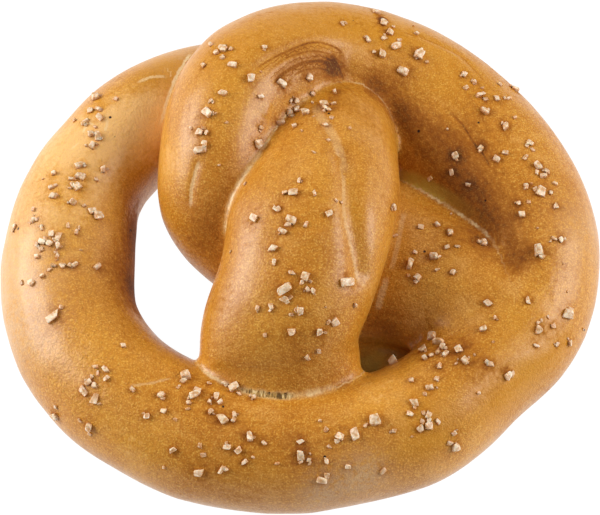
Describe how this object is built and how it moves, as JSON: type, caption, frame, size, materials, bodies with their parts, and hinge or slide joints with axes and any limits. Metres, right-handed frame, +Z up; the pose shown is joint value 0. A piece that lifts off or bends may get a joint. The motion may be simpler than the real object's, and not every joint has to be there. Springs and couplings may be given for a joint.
{
  "type": "soft pretzel",
  "caption": "Salted soft pretzel: a thick rope of baked dough laid in a loop, twisted once, with both ends pressed onto the loop, flat underneath.",
  "frame": {"origin": "centre of the pretzel's bounding box, on the surface that it lies on", "axes": "+Z up, +X along the pretzel's length towards the right arm's end, +Y towards the twist's crossing at the back"},
  "size_m": [0.1256, 0.1144, 0.0399],
  "materials": {
    "crust": "baked golden brown, thin shine",
    "salt": "coarse cloudy crystals"
  },
  "bodies": {
    "root": {"pretzel": "crust"}
  },
  "joints": []
}
